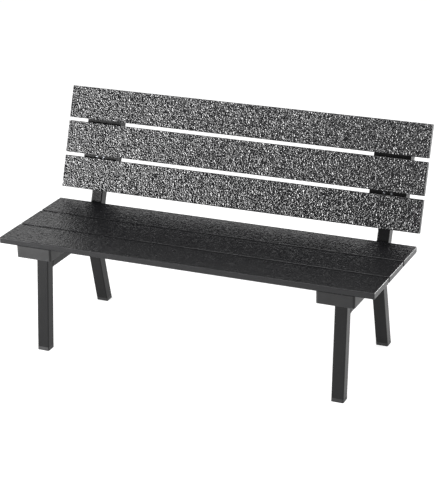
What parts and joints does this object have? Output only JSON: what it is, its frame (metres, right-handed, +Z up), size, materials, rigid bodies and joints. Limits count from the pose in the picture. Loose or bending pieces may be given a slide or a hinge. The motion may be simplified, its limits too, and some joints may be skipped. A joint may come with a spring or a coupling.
{
  "type": "park bench with backrest",
  "caption": "Black slatted street bench with a reclined slatted back on two splayed tube-steel frames.",
  "frame": {"origin": "centre of the bench's footprint box, on the floor", "axes": "+X along the bench to its right end as a person faces its front, +Y from the front to the back, +Z up"},
  "size_m": [1.5, 0.71, 0.8694],
  "materials": {
    "slat_plastic": "coarse pebbled faces with a soft gloss, smooth edges",
    "board_plastic": "smooth, semi-gloss",
    "frame_steel": "smooth satin powder coat",
    "foot_plastic": "moulded, matte",
    "fastener_steel": "zinc-plated, satin"
  },
  "bodies": {
    "root": {"back_cleat_left": "board_plastic", "back_cleat_right": "board_plastic", "back_post_left": "frame_steel", "back_post_right": "frame_steel", "back_slat_bottom": "slat_plastic", "back_slat_middle": "slat_plastic", "back_slat_screws": "fastener_steel", "back_slat_top": "slat_plastic", "back_slat_washers": "fastener_steel", "cleat_post_screws": "fastener_steel", "foot_front_left": "foot_plastic", "foot_front_right": "foot_plastic", "foot_rear_left": "foot_plastic", "foot_rear_right": "foot_plastic", "frame_bolt_nuts": "fastener_steel", "frame_bolt_washers": "fastener_steel", "frame_bolts": "fastener_steel", "frame_rail_left": "frame_steel", "frame_rail_right": "frame_steel", "front_leg_left": "frame_steel", "front_leg_right": "frame_steel", "post_cap_left": "foot_plastic", "post_cap_right": "foot_plastic", "rear_leg_left": "frame_steel", "rear_leg_right": "frame_steel", "seat_bearer_left": "board_plastic", "seat_bearer_right": "board_plastic", "seat_slat_front": "slat_plastic", "seat_slat_middle": "slat_plastic", "seat_slat_rear": "slat_plastic", "seat_slat_screws": "fastener_steel", "seat_slat_washers": "fastener_steel"}
  },
  "joints": []
}
